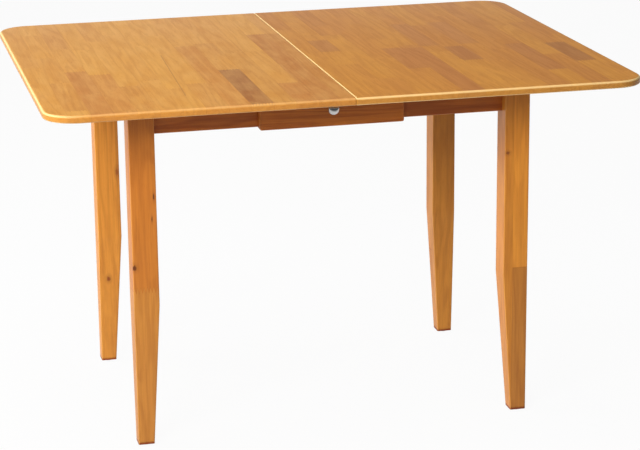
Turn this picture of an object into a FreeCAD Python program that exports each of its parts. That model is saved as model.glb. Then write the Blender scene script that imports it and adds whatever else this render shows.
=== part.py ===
import FreeCAD, Part

import math
import os

from FreeCAD import Vector

# Butterfly leaf extending dining table, in millimetres.
# +X runs along the table's length, +Y from the drawer side to the far side, +Z up.
# The origin is on the floor, under the middle of the top. The table is closed:
# the two halves of the top meet at the seam, and the leaf lies folded under it.

# ---------------------------------------------------------------- driving sizes
TABLE_HEIGHT = 750.0
TOP_LENGTH = 1200.0
TOP_WIDTH = 960.0
TOP_THICKNESS = 15.0
TOP_CORNER_RADIUS = 65.0
TOP_EDGE_RADIUS = 6.5
UNDER_EDGE_RADIUS = 3.0
SEAM_GAP = 0.6
SEAM_CHAMFER = 1.5

LEAF_WIDTH = 300.0
LEAF_HEADROOM = 2.0
LEAF_FOLD_GAP = 0.5
LEAF_END_GAP = 5.0

FRAME_LENGTH = 836.0
FRAME_GAP = 3.0
LEG_SIZE = 53.0
FOOT_SIZE = 33.5
TAPER_HEIGHT = 302.0
LEG_EDGE_RADIUS = 2.5
LEG_BOLT_FLAT = 10.0
FOOT_GLIDE_RADIUS = 11.0
FOOT_GLIDE_HEIGHT = 3.0
FOOT_GLIDE_BEVEL = 1.0
FOOT_NAIL_RADIUS = 1.5
FOOT_NAIL_LENGTH = 15.0

APRON_HEIGHT = 78.0
APRON_THICKNESS = 20.0
APRON_SETBACK = 22.0
APRON_EDGE_RADIUS = 2.0

RUNNING_GAP = 0.3
OVERCUT = 1.0

TRACK_WIDTH = 13.0
TRACK_HEIGHT = 11.0
TRACK_WALL = 1.5
TRACK_SLOT = 5.4
RUNNER_FLANGE_WIDTH = 18.0
RUNNER_HEAD_HEIGHT = 3.5
RUNNER_SEAM_SETBACK = 15.0
RUNNER_SCREW_COUNT = 4
TOP_GLIDE_RADIUS = 9.0

CROSS_RAIL_WIDTH = 26.0
CROSS_RAIL_TENON = 5.0
CROSS_RAIL_SEAT = 8.0
CROSS_RAIL_LIP = 3.5
CROSS_RAIL_RAISE = 2.0

BRACE_THICKNESS = 22.0
BRACE_HEIGHT = 60.0
BRACE_LEG_GAP = 17.0
HANGER_BOLT_RADIUS = 4.0
HANGER_BOLT_SPACING = 34.0
HANGER_BOLT_GRIP = 42.0
HANGER_HOLE_GAP = 0.5
WASHER_RADIUS = 9.0
WASHER_THICKNESS = 1.6
NUT_ACROSS_FLATS = 13.0
NUT_HEIGHT = 6.5
BOLT_END_LENGTH = 6.0

DRAWER_FRONT_WIDTH = 300.0
DRAWER_FRONT_THICKNESS = 20.0
DRAWER_FRONT_DROP = 3.5
DRAWER_FRONT_TOP_GAP = 7.0
DRAWER_FRONT_RADIUS = 4.0
DRAWER_FRONT_EASE = 2.0
DRAWER_DEPTH = 380.0
DRAWER_SIDE_HEIGHT = 35.0
DRAWER_BOARD = 12.0
DRAWER_BOTTOM_THICKNESS = 4.0
DRAWER_BOTTOM_RAISE = 3.0
DRAWER_BOTTOM_TONGUE = 3.5
DRAWER_SIDE_GAP = 2.5
DRAWER_TOP_GAP = 5.5
DRAWER_TRAVEL = 300.0
SLIDE_STRIP_HEIGHT = 9.0
SLIDE_STRIP_DEPTH = 9.2
SLIDE_STRIP_RAISE = 13.0
SLIDE_STRIP_BACK = 25.0
SLIDE_STRIP_FRONT_GAP = 1.0
SLIDE_STRIP_SCREW_MARGIN = 32.0
SLIDE_GROOVE_FRONT_STOP = 18.0
NOTCH_TOP_GAP = 3.5
STOP_LENGTH = 20.0
FRONT_SCREW_INSET = 38.0
FRONT_SCREW_GRIP = 14.0

KNOB_RADIUS = 13.0
KNOB_NECK_RADIUS = 5.0
KNOB_FOOT_RADIUS = 7.5
KNOB_FOOT_HEIGHT = 1.8
KNOB_NECK_HEIGHT = 6.5
KNOB_RIM_HEIGHT = 13.0
KNOB_RIM_EDGE = 1.2
KNOB_LENGTH = 22.0
KNOB_BOLT_RADIUS = 2.0
KNOB_BOLT_HEAD_RADIUS = 4.0
KNOB_BOLT_HEAD_HEIGHT = 2.5
KNOB_BOLT_GRIP = 10.0

PEG_RADIUS = 3.5
PEG_SEAT = 12.0
PEG_REACH = 10.0
PEG_HOLE_GAP = 0.25
PEG_END_GAP = 0.6
PEG_FIRST = 110.0
PEG_PITCH = 160.0
PEGS_PER_WING = 3

HINGE_ARM_LENGTH = 55.0
HINGE_ARM_HEIGHT = 9.0
HINGE_PLATE = 2.5
HINGE_PIN_RADIUS = 1.6
HINGE_END_MARGIN = 8.0

CATCH_EDGE_INSET = 130.0
CATCH_PIVOT_INSET = 30.0
CATCH_KEEPER_INSET = 20.0
CATCH_PLATE_THICKNESS = 1.5
CATCH_PLATE_LENGTH = 40.0
CATCH_PLATE_WIDTH = 26.0
CATCH_PLATE_CORNER = 4.0
CATCH_PLATE_SHIFT = 10.0
CATCH_SCREW_MARGIN = 5.0
CATCH_LEVER_THICKNESS = 2.5
CATCH_LEVER_WIDTH = 14.0
CATCH_PIN_RADIUS = 3.0
CATCH_PIN_GAP = 0.08
CATCH_STUD_GAP = 0.5
CATCH_HEAD_RADIUS = 5.5
CATCH_HEAD_THICKNESS = 1.5
CATCH_TAIL_LENGTH = 26.0

SCREW_RADIUS = 1.5
SCREW_HEAD_RADIUS = 2.9
SCREW_HEAD_HEIGHT = 1.8
SCREW_LENGTH = 11.5
BRACE_SCREW_LENGTH = 30.0
BRACE_SCREW_GRIP = 15.0
BRACE_SCREW_RADIUS = 2.0
BRACE_SCREW_HEAD_RADIUS = 3.8
BRACE_SCREW_HEAD_HEIGHT = 2.4

# ---------------------------------------------------------------- derived levels
UNDERSIDE = TABLE_HEIGHT - TOP_THICKNESS
FRAME_TOP = UNDERSIDE - FRAME_GAP
APRON_BOTTOM = FRAME_TOP - APRON_HEIGHT
UPPER_WING_BOTTOM = UNDERSIDE - LEAF_HEADROOM - TOP_THICKNESS
LEAF_SEAT = UPPER_WING_BOTTOM - LEAF_FOLD_GAP - TOP_THICKNESS
TRAVEL = LEAF_WIDTH / 2

HALF_LEAF_Y = TOP_WIDTH / 4
HALF_FRAME_X = FRAME_LENGTH / 2
HALF_FRAME_Y = HALF_LEAF_Y + LEAF_END_GAP + APRON_THICKNESS + APRON_SETBACK
LEG_INNER_X = HALF_FRAME_X - LEG_SIZE
LEG_INNER_Y = HALF_FRAME_Y - LEG_SIZE
LONG_APRON_FACE = HALF_FRAME_Y - APRON_SETBACK
LONG_APRON_BACK = LONG_APRON_FACE - APRON_THICKNESS
END_APRON_FACE = HALF_FRAME_X - APRON_SETBACK
END_APRON_BACK = END_APRON_FACE - APRON_THICKNESS
TRACK_Y = LONG_APRON_FACE - APRON_THICKNESS / 2
TRACK_BOTTOM = FRAME_TOP - TRACK_HEIGHT

RAIL_INNER_X = TRAVEL - CROSS_RAIL_SEAT
NOTCH_TOP = LEAF_SEAT - NOTCH_TOP_GAP
DRAWER_TOP = LEAF_SEAT - DRAWER_TOP_GAP
DRAWER_BASE = DRAWER_TOP - DRAWER_SIDE_HEIGHT
DRAWER_FACE_Y = -(LONG_APRON_FACE + RUNNING_GAP)
DRAWER_BACK_Y = DRAWER_FACE_Y + DRAWER_DEPTH
DRAWER_OUTER_X = RAIL_INNER_X - DRAWER_SIDE_GAP
DRAWER_INNER_X = DRAWER_OUTER_X - DRAWER_BOARD
DRAWER_FLOOR = DRAWER_BASE + DRAWER_BOTTOM_RAISE + DRAWER_BOTTOM_THICKNESS
FRONT_BOTTOM = APRON_BOTTOM - DRAWER_FRONT_DROP
FRONT_TOP = UNDERSIDE - DRAWER_FRONT_TOP_GAP
FRONT_MIDDLE = (FRONT_BOTTOM + FRONT_TOP) / 2
STRIP_BOTTOM = DRAWER_BASE + SLIDE_STRIP_RAISE
CATCH_OFFSET = TOP_WIDTH / 2 - CATCH_EDGE_INSET

SIDES = {"left": -1, "right": 1}
FACES = {"near": -1, "far": 1}


# ---------------------------------------------------------------- small helpers
def block(x0, x1, y0, y1, z0, z1):
    """A rectangular solid between two corners, given in any order."""
    low = Vector(min(x0, x1), min(y0, y1), min(z0, z1))
    return Part.makeBox(abs(x1 - x0), abs(y1 - y0), abs(z1 - z0), low)


def prism(points, push):
    """A solid pushed from a flat polygon along a vector."""
    return Part.Face(Part.makePolygon(points + points[:1])).extrude(push)


def rod(radius, start, direction, length):
    """A round bar that starts at a point and runs along a direction."""
    return Part.makeCylinder(radius, length, start, direction)


def flip(shape, side, face=1):
    """The shape mirrored to the given side of the table (-1 or 1 each way)."""
    if side < 0:
        shape = shape.mirror(Vector(0, 0, 0), Vector(1, 0, 0))
    if face < 0:
        shape = shape.mirror(Vector(0, 0, 0), Vector(0, 1, 0))
    return shape


def countersunk(start, direction, length, radius=SCREW_RADIUS,
                head_radius=SCREW_HEAD_RADIUS, head_height=SCREW_HEAD_HEIGHT):
    """A countersunk screw whose flat head face is at start."""
    head = Part.makeCone(head_radius, radius, head_height, start, direction)
    return head.fuse(rod(radius, start, direction, length)).removeSplitter()


def cut_all(shape, tools):
    """The shape with every tool cut from it."""
    for tool in tools:
        shape = shape.cut(tool)
    return shape


def edges_where(shape, test):
    """Edges whose two ends both pass a test on their point."""
    return [e for e in shape.Edges if all(test(v.Point) for v in e.Vertexes)]


def near(a, b):
    return abs(a - b) < 1e-4


def is_upright(edge):
    start, end = edge.Vertexes[0].Point, edge.Vertexes[-1].Point
    return near(start.x, end.x) and near(start.y, end.y)


# ---------------------------------------------------------------- pegs and holes
def peg_offsets():
    """Distances of the seam pegs from the middle of the table's width."""
    return [PEG_FIRST + PEG_PITCH * i for i in range(PEGS_PER_WING)]


def seam_peg_ys():
    return [face * y for y in peg_offsets() for face in (-1, 1)]


def wing_peg_ys():
    """The same pegs on a folded wing, whose fold is at the far end."""
    return [HALF_LEAF_Y - y for y in peg_offsets()]


def pegs(x, ys, z):
    """Round pegs that stand out of the edge at x, pointing along +X."""
    return [rod(PEG_RADIUS, Vector(x - PEG_SEAT, y, z), Vector(1, 0, 0),
                PEG_SEAT + PEG_REACH) for y in ys]


def peg_holes(x, ys, z):
    """Clearance holes for the pegs, bored along +X from the edge at x."""
    return [rod(PEG_RADIUS + PEG_HOLE_GAP, Vector(x, y, z), Vector(1, 0, 0),
                PEG_REACH + PEG_END_GAP) for y in ys]


# ---------------------------------------------------------------- top
def bevel_seam(board, x):
    """The board with the whole outline of its seam edge, at x, bevelled."""
    return board.makeChamfer(SEAM_CHAMFER, edges_where(board, lambda p: near(p.x, x)))


def top_board():
    """The right half of the top: its outer corners and rim round, its seam straight."""
    seam, end, half = SEAM_GAP / 2, TOP_LENGTH / 2, TOP_WIDTH / 2
    board = block(seam, end, -half, half, UNDERSIDE, TABLE_HEIGHT)
    corners = [e for e in edges_where(board, lambda p: near(p.x, end)) if is_upright(e)]
    board = board.makeFillet(TOP_CORNER_RADIUS, corners)
    for level, radius in ((TABLE_HEIGHT, TOP_EDGE_RADIUS), (UNDERSIDE, UNDER_EDGE_RADIUS)):
        rim = [e for e in edges_where(board, lambda p: near(p.z, level))
               if not all(near(v.Point.x, seam) for v in e.Vertexes)]
        board = board.makeFillet(radius, rim)
    return bevel_seam(board, seam)


def top_half(side, cuts):
    """One half of the top, cut for the screws and the seam pegs."""
    board = cut_all(flip(top_board(), side), cuts)
    middle = UNDERSIDE + TOP_THICKNESS / 2
    if side < 0:
        return cut_all(board, pegs(-SEAM_GAP / 2, seam_peg_ys(), middle))
    return cut_all(board, peg_holes(SEAM_GAP / 2, seam_peg_ys(), middle))


# ---------------------------------------------------------------- folded leaf
def wing_board(level, up):
    """One wing of the leaf. Its show face is up (1) or down (-1), its rim is near."""
    half, end = LEAF_WIDTH / 2, HALF_LEAF_Y
    board = block(-half, half, -end, end, level, level + TOP_THICKNESS)
    middle = level + TOP_THICKNESS / 2
    show = middle + up * TOP_THICKNESS / 2
    under = middle - up * TOP_THICKNESS / 2
    for height, radius in ((show, TOP_EDGE_RADIUS), (under, UNDER_EDGE_RADIUS)):
        rim = edges_where(board, lambda p: near(p.y, -end) and near(p.z, height))
        board = board.makeFillet(radius, rim)
    return bevel_seam(bevel_seam(board, -half), half)


def hinge_levels():
    """Mid heights of the lower and the upper wing."""
    return [LEAF_SEAT + TOP_THICKNESS / 2, UPPER_WING_BOTTOM + TOP_THICKNESS / 2]


def hinge_pin_y():
    return HALF_LEAF_Y - HINGE_END_MARGIN


def slot_plate(x, start, end):
    """A flat bar with round ends between two points (y, z), pushed inboard from x."""
    a, b = Vector(x, *start), Vector(x, *end)
    inboard = Vector(-math.copysign(1, x), 0, 0)
    along = b - a
    along.normalize()
    across = Vector(0, -along.z, along.y) * (HINGE_ARM_HEIGHT / 2)
    bar = prism([a + across, b + across, b - across, a - across], inboard * HINGE_PLATE)
    for point in (a, b):
        bar = bar.fuse(rod(HINGE_ARM_HEIGHT / 2, point, inboard, HINGE_PLATE))
    return bar.removeSplitter()


def hinge_arms():
    """Edge plates of the leaf hinges, let in flush, one per wing and side."""
    far = hinge_pin_y()
    return [slot_plate(side * LEAF_WIDTH / 2, (far - HINGE_ARM_LENGTH, z), (far, z))
            for side in (-1, 1) for z in hinge_levels()]


def hinge_links():
    """The short links that join the two arms of each hinge, behind the arms."""
    low, high = hinge_levels()
    far = hinge_pin_y()
    return [slot_plate(side * (LEAF_WIDTH / 2 - HINGE_PLATE), (far, low), (far, high))
            for side in (-1, 1)]


def hinge_pins():
    """Pins through each arm and its link."""
    return [rod(HINGE_PIN_RADIUS, Vector(side * LEAF_WIDTH / 2, hinge_pin_y(), z),
                Vector(-side, 0, 0), 2 * HINGE_PLATE)
            for side in (-1, 1) for z in hinge_levels()]


def leaf_wing(level, up):
    """One wing of the leaf, with its peg holes and its sockets for the hinges."""
    half = LEAF_WIDTH / 2
    middle = level + TOP_THICKNESS / 2
    board = cut_all(wing_board(level, up), pegs(half, wing_peg_ys(), middle))
    board = cut_all(board, peg_holes(-half, wing_peg_ys(), middle))
    return cut_all(board, hinge_arms() + hinge_links())


# ---------------------------------------------------------------- legs and aprons
def bolt_levels():
    middle = APRON_BOTTOM + APRON_HEIGHT / 2
    return [middle - HANGER_BOLT_SPACING / 2, middle + HANGER_BOLT_SPACING / 2]


DIAGONAL = Vector(1, 1, 0) * math.sqrt(0.5)


def brace_line(offset):
    """Where a 45 degree line, set in from the leg's inner corner, meets the aprons."""
    total = LEG_INNER_X + LEG_INNER_Y - offset * math.sqrt(2)
    return (Vector(total - LONG_APRON_BACK, LONG_APRON_BACK, 0),
            Vector(END_APRON_BACK, total - END_APRON_BACK, 0))


def bolt_point(offset, z):
    """A point on the hanger bolt's axis, set in from the leg's inner corner."""
    corner = Vector(LEG_INNER_X, LEG_INNER_Y, z)
    return corner - DIAGONAL * offset


def hanger_bolt(z):
    nut_face = BRACE_LEG_GAP + BRACE_THICKNESS + WASHER_THICKNESS + NUT_HEIGHT
    reach = nut_face + BOLT_END_LENGTH
    return rod(HANGER_BOLT_RADIUS, bolt_point(reach, z), DIAGONAL,
               reach + HANGER_BOLT_GRIP)


def leg_section(size, z):
    """A square with eased corners; its outer corner stays over the leg's outer corner."""
    r = LEG_EDGE_RADIUS
    bend = r * (1 - math.sqrt(0.5))
    x1, y1 = HALF_FRAME_X, HALF_FRAME_Y
    x0, y0 = x1 - size, y1 - size
    sides = [((x0 + r, y0), (x1 - r, y0)), ((x1, y0 + r), (x1, y1 - r)),
             ((x1 - r, y1), (x0 + r, y1)), ((x0, y1 - r), (x0, y0 + r))]
    bends = [(x1 - bend, y0 + bend), (x1 - bend, y1 - bend),
             (x0 + bend, y1 - bend), (x0 + bend, y0 + bend)]
    edges = []
    for i, (start, end) in enumerate(sides):
        after = sides[(i + 1) % len(sides)][0]
        edges.append(Part.LineSegment(Vector(*start, z), Vector(*end, z)))
        edges.append(Part.Arc(Vector(*end, z), Vector(*bends[i], z), Vector(*after, z)))
    return Part.Wire([e.toShape() for e in edges])


def bolt_flat():
    """The cutter for the flat on the leg's inner corner, behind the hanger bolts."""
    reach = LEG_BOLT_FLAT + 2 * OVERCUT
    corner = Vector(LEG_INNER_X - OVERCUT, LEG_INNER_Y - OVERCUT, APRON_BOTTOM)
    return prism([corner, corner + Vector(reach, 0, 0), corner + Vector(0, reach, 0)],
                 Vector(0, 0, APRON_HEIGHT))


def leg():
    """The far right leg: two faces plumb, the two inner faces tapered."""
    knee = leg_section(LEG_SIZE, TAPER_HEIGHT)
    foot = leg_section(FOOT_SIZE, FOOT_GLIDE_HEIGHT)
    post = Part.Face(knee).extrude(Vector(0, 0, FRAME_TOP - TAPER_HEIGHT))
    post = post.fuse(Part.makeLoft([foot, knee], True, True)).removeSplitter()
    bolts = [hanger_bolt(z) for z in bolt_levels()]
    return cut_all(post, [bolt_flat(), foot_nail()] + bolts)


def foot_centre():
    return (HALF_FRAME_X - FOOT_SIZE / 2, HALF_FRAME_Y - FOOT_SIZE / 2)


def foot_nail():
    x, y = foot_centre()
    return rod(FOOT_NAIL_RADIUS, Vector(x, y, FOOT_GLIDE_HEIGHT), Vector(0, 0, 1),
               FOOT_NAIL_LENGTH)


def foot_glide():
    """A nylon glide on a nail: a round button with a bevelled edge."""
    x, y = foot_centre()
    button = rod(FOOT_GLIDE_RADIUS, Vector(x, y, 0), Vector(0, 0, 1), FOOT_GLIDE_HEIGHT)
    rim = edges_where(button, lambda p: near(p.z, 0))
    return button.makeChamfer(FOOT_GLIDE_BEVEL, rim).fuse(foot_nail())


def apron_board(length, face, back, along_x):
    """One apron board, with its lower outer edge eased."""
    if along_x:
        board = block(-length, length, back, face, APRON_BOTTOM, FRAME_TOP)
        rim = edges_where(board, lambda p: near(p.y, face) and near(p.z, APRON_BOTTOM))
    else:
        board = block(back, face, -length, length, APRON_BOTTOM, FRAME_TOP)
        rim = edges_where(board, lambda p: near(p.x, face) and near(p.z, APRON_BOTTOM))
    return board.makeFillet(APRON_EDGE_RADIUS, rim)


def long_apron(face, cuts):
    board = apron_board(LEG_INNER_X, LONG_APRON_FACE, LONG_APRON_BACK, True)
    groove = block(-LEG_INNER_X, LEG_INNER_X, TRACK_Y - TRACK_WIDTH / 2,
                   TRACK_Y + TRACK_WIDTH / 2, TRACK_BOTTOM, FRAME_TOP)
    board = flip(board.cut(groove), 1, face)
    board = cut_all(board, [cross_rail(side) for side in SIDES.values()])
    return cut_all(board, cuts)


def drawer_notch():
    """The gap in the near apron that the drawer passes through, open below."""
    return block(-RAIL_INNER_X, RAIL_INNER_X, -LONG_APRON_FACE, -LONG_APRON_BACK,
                 APRON_BOTTOM, NOTCH_TOP)


def end_apron(side, cuts):
    board = apron_board(LEG_INNER_Y, END_APRON_FACE, END_APRON_BACK, False)
    return cut_all(flip(board, side), cuts)


def brace():
    """The far right corner brace, bevelled at 45 degrees between two aprons."""
    base = Vector(0, 0, APRON_BOTTOM + (APRON_HEIGHT - BRACE_HEIGHT) / 2)
    back = BRACE_LEG_GAP + BRACE_THICKNESS
    outer_a, outer_b = brace_line(BRACE_LEG_GAP)
    inner_a, inner_b = brace_line(back)
    body = prism([p + base for p in (outer_a, outer_b, inner_b, inner_a)],
                 Vector(0, 0, BRACE_HEIGHT))
    holes = [rod(HANGER_BOLT_RADIUS + HANGER_HOLE_GAP, bolt_point(back + OVERCUT, z),
                 DIAGONAL, BRACE_THICKNESS + 2 * OVERCUT) for z in bolt_levels()]
    return cut_all(body, holes + brace_screws())


def brace_screw(start, direction):
    return countersunk(start, direction, BRACE_SCREW_LENGTH, BRACE_SCREW_RADIUS,
                       BRACE_SCREW_HEAD_RADIUS, BRACE_SCREW_HEAD_HEIGHT)


def brace_screws():
    """Two screws at each end of the far right brace, driven square into the aprons."""
    screws = []
    long_end, short_end = brace_line(BRACE_LEG_GAP + BRACE_THICKNESS)
    shift = BRACE_SCREW_LENGTH - BRACE_SCREW_GRIP
    for z in bolt_levels():
        screws.append(brace_screw(long_end + Vector(shift, -shift, z), Vector(0, 1, 0)))
        screws.append(brace_screw(short_end + Vector(-shift, shift, z), Vector(1, 0, 0)))
    return screws


def washer(z):
    place = bolt_point(BRACE_LEG_GAP + BRACE_THICKNESS + WASHER_THICKNESS, z)
    disc = rod(WASHER_RADIUS, place, DIAGONAL, WASHER_THICKNESS)
    return disc.cut(rod(HANGER_BOLT_RADIUS, place, DIAGONAL, WASHER_THICKNESS))


def nut(z):
    offset = BRACE_LEG_GAP + BRACE_THICKNESS + WASHER_THICKNESS + NUT_HEIGHT
    place = bolt_point(offset, z)
    across = Vector(DIAGONAL.y, -DIAGONAL.x, 0)
    corner = NUT_ACROSS_FLATS / math.sqrt(3)
    ring = []
    for i in range(6):
        angle = math.radians(60 * i)
        ring.append(place + across * (corner * math.cos(angle))
                    + Vector(0, 0, corner * math.sin(angle)))
    body = prism(ring, DIAGONAL * NUT_HEIGHT)
    return body.cut(rod(HANGER_BOLT_RADIUS, place, DIAGONAL, NUT_HEIGHT))


def at_corners(make):
    """Copies of the far right corner's pieces at all four corners of the frame."""
    return [flip(piece, side, face) for side in SIDES.values() for face in FACES.values()
            for piece in make()]


# ---------------------------------------------------------------- slides of the top
def track():
    """A C track, let into the far apron's top edge from leg to leg."""
    outer = block(-LEG_INNER_X, LEG_INNER_X, TRACK_Y - TRACK_WIDTH / 2,
                  TRACK_Y + TRACK_WIDTH / 2, TRACK_BOTTOM, FRAME_TOP)
    inner = TRACK_WIDTH / 2 - TRACK_WALL
    hollow = block(-LEG_INNER_X, LEG_INNER_X, TRACK_Y - inner, TRACK_Y + inner,
                   TRACK_BOTTOM + TRACK_WALL, FRAME_TOP - TRACK_WALL)
    slot = block(-LEG_INNER_X, LEG_INNER_X, TRACK_Y - TRACK_SLOT / 2,
                 TRACK_Y + TRACK_SLOT / 2, TRACK_BOTTOM + TRACK_WALL, FRAME_TOP)
    return outer.cut(hollow).cut(slot)


def runner_ends():
    """Inner and outer end of a runner that stays in the track over its travel."""
    return RUNNER_SEAM_SETBACK, LEG_INNER_X - TRAVEL - RUNNING_GAP


def runner_screws():
    """Countersunk screws up through the flange, on alternate sides of the web."""
    inner, outer = runner_ends()
    pitch = (outer - inner) / RUNNER_SCREW_COUNT
    reach = (RUNNER_FLANGE_WIDTH + TRACK_SLOT) / 4
    screws = []
    for i in range(RUNNER_SCREW_COUNT):
        x = inner + pitch * (i + 0.5)
        y = TRACK_Y + reach * (1 if i % 2 else -1)
        screws.append(countersunk(Vector(x, y, FRAME_TOP + RUNNING_GAP),
                                  Vector(0, 0, 1), SCREW_LENGTH))
    return screws


def runner():
    """The far right runner: a T head in the track, a web and a screwed flange."""
    inner, outer = runner_ends()
    head_top = FRAME_TOP - TRACK_WALL - RUNNING_GAP
    head = TRACK_WIDTH / 2 - TRACK_WALL - RUNNING_GAP
    web = TRACK_SLOT / 2 - RUNNING_GAP
    bar = block(inner, outer, TRACK_Y - head, TRACK_Y + head,
                head_top - RUNNER_HEAD_HEIGHT, head_top)
    bar = bar.fuse(block(inner, outer, TRACK_Y - web, TRACK_Y + web,
                         head_top, FRAME_TOP + RUNNING_GAP))
    flange = RUNNER_FLANGE_WIDTH / 2
    bar = bar.fuse(block(inner, outer, TRACK_Y - flange, TRACK_Y + flange,
                         FRAME_TOP + RUNNING_GAP, UNDERSIDE))
    return cut_all(bar.removeSplitter(), runner_screws())


def top_glides():
    """Nylon buttons on the legs and end aprons that the top slides on."""
    z = FRAME_TOP
    height = FRAME_GAP - RUNNING_GAP
    glides = []
    for side in (-1, 1):
        for y in (-HALF_FRAME_Y + LEG_SIZE / 2, 0, HALF_FRAME_Y - LEG_SIZE / 2):
            x = HALF_FRAME_X - LEG_SIZE / 2 if y else END_APRON_FACE - APRON_THICKNESS / 2
            disc = rod(TOP_GLIDE_RADIUS, Vector(side * x, y, z), Vector(0, 0, 1), height)
            glides.append(disc)
    return glides


# ---------------------------------------------------------------- leaf and drawer rails
def cross_rail(side):
    """A rail between the long aprons: the leaf lies in its rebate."""
    x0, x1 = RAIL_INNER_X, RAIL_INNER_X + CROSS_RAIL_WIDTH
    step = TRAVEL + RUNNING_GAP
    base = APRON_BOTTOM + CROSS_RAIL_RAISE
    lip = LEAF_SEAT + CROSS_RAIL_LIP
    end = LONG_APRON_BACK + CROSS_RAIL_TENON
    profile = [Vector(x0, -end, base), Vector(x1, -end, base), Vector(x1, -end, lip),
               Vector(step, -end, lip), Vector(step, -end, LEAF_SEAT),
               Vector(x0, -end, LEAF_SEAT)]
    return flip(prism(profile, Vector(0, 2 * end, 0)), side)


def slide_strip_span():
    """Near and far end of the strips that the drawer's grooves run on."""
    return SLIDE_STRIP_FRONT_GAP - LONG_APRON_BACK, DRAWER_BACK_Y + SLIDE_STRIP_BACK


def slide_strip(side):
    """A hardwood strip on the rail's inner face."""
    y0, y1 = slide_strip_span()
    strip = block(RAIL_INNER_X - SLIDE_STRIP_DEPTH, RAIL_INNER_X, y0, y1,
                  STRIP_BOTTOM, STRIP_BOTTOM + SLIDE_STRIP_HEIGHT)
    return cut_all(flip(strip, side), strip_screws(side))


def strip_screws(side):
    """Three screws through a strip into its cross rail."""
    y0, y1 = slide_strip_span()
    places = (y0 + SLIDE_STRIP_SCREW_MARGIN, (y0 + y1) / 2, y1 - SLIDE_STRIP_SCREW_MARGIN)
    face = Vector(side * (RAIL_INNER_X - SLIDE_STRIP_DEPTH), 0,
                  STRIP_BOTTOM + SLIDE_STRIP_HEIGHT / 2)
    return [countersunk(face + Vector(0, y, 0), Vector(side, 0, 0),
                        SLIDE_STRIP_DEPTH + SCREW_LENGTH) for y in places]


# ---------------------------------------------------------------- drawer
def drawer_side(side):
    """A side of the drawer, grooved outside for its strip, inside for the bottom."""
    board = block(DRAWER_INNER_X, DRAWER_OUTER_X, DRAWER_FACE_Y, DRAWER_BACK_Y,
                  DRAWER_BASE, DRAWER_TOP)
    gap = RUNNING_GAP
    groove = block(RAIL_INNER_X - SLIDE_STRIP_DEPTH - gap, DRAWER_OUTER_X,
                   DRAWER_FACE_Y + SLIDE_GROOVE_FRONT_STOP, DRAWER_BACK_Y,
                   STRIP_BOTTOM - gap, STRIP_BOTTOM + SLIDE_STRIP_HEIGHT + gap)
    return flip(board.cut(groove), side).cut(drawer_bottom())


def drawer_bottom():
    half = DRAWER_INNER_X + DRAWER_BOTTOM_TONGUE
    return block(-half, half, DRAWER_FACE_Y, DRAWER_BACK_Y,
                 DRAWER_FLOOR - DRAWER_BOTTOM_THICKNESS, DRAWER_FLOOR)


def drawer_end(y):
    """The board at the front or the back of the drawer box, from y inwards."""
    return block(-DRAWER_INNER_X, DRAWER_INNER_X, y, y + DRAWER_BOARD,
                 DRAWER_FLOOR, DRAWER_TOP)


def front_screws():
    """Two screws from inside the box that hold the show front."""
    x = DRAWER_INNER_X - FRONT_SCREW_INSET
    face = Vector(0, DRAWER_FACE_Y + DRAWER_BOARD, (DRAWER_FLOOR + DRAWER_TOP) / 2)
    return [countersunk(face + Vector(side * x, 0, 0), Vector(0, -1, 0),
                        DRAWER_BOARD + FRONT_SCREW_GRIP, BRACE_SCREW_RADIUS,
                        BRACE_SCREW_HEAD_RADIUS, BRACE_SCREW_HEAD_HEIGHT)
            for side in (-1, 1)]


def knob_bolt():
    """A machine screw from inside the box, through the front, into the knob."""
    inside = DRAWER_FACE_Y + DRAWER_BOARD
    start = Vector(0, inside, FRONT_MIDDLE)
    length = DRAWER_BOARD + DRAWER_FRONT_THICKNESS + KNOB_BOLT_GRIP
    shank = rod(KNOB_BOLT_RADIUS, start, Vector(0, -1, 0), length)
    head = rod(KNOB_BOLT_HEAD_RADIUS, start, Vector(0, 1, 0), KNOB_BOLT_HEAD_HEIGHT)
    return shank.fuse(head).removeSplitter()


def knob():
    """A turned knob: a foot, a hollow neck and a domed head with a soft rim."""
    foot = Vector(KNOB_FOOT_RADIUS, KNOB_FOOT_HEIGHT, 0)
    neck = Vector(KNOB_NECK_RADIUS, KNOB_NECK_HEIGHT, 0)
    rim = Vector(KNOB_RADIUS, KNOB_RIM_HEIGHT, 0)
    tip = Vector(0, KNOB_LENGTH, 0)
    rise = KNOB_LENGTH - KNOB_RIM_HEIGHT
    ball = (KNOB_RADIUS ** 2 + rise ** 2) / (2 * rise)
    half_turn = math.asin(KNOB_RADIUS / ball) / 2
    crown = Vector(ball * math.sin(half_turn),
                   KNOB_LENGTH - ball + ball * math.cos(half_turn), 0)
    outline = Part.Wire([piece.toShape() for piece in (
        Part.LineSegment(Vector(0, 0, 0), Vector(KNOB_FOOT_RADIUS, 0, 0)),
        Part.LineSegment(Vector(KNOB_FOOT_RADIUS, 0, 0), foot),
        Part.Arc(foot, neck, rim),
        Part.Arc(rim, crown, tip),
        Part.LineSegment(tip, Vector(0, 0, 0)))])
    body = Part.Face(outline).revolve(Vector(0, 0, 0), Vector(0, 1, 0), 360)
    sharp = edges_where(body, lambda p: near(p.y, KNOB_RIM_HEIGHT))
    body = body.makeFillet(KNOB_RIM_EDGE, sharp)
    body.rotate(Vector(0, 0, 0), Vector(1, 0, 0), 180)
    body.translate(Vector(0, DRAWER_FACE_Y - DRAWER_FRONT_THICKNESS, FRONT_MIDDLE))
    return body.cut(knob_bolt())


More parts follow.
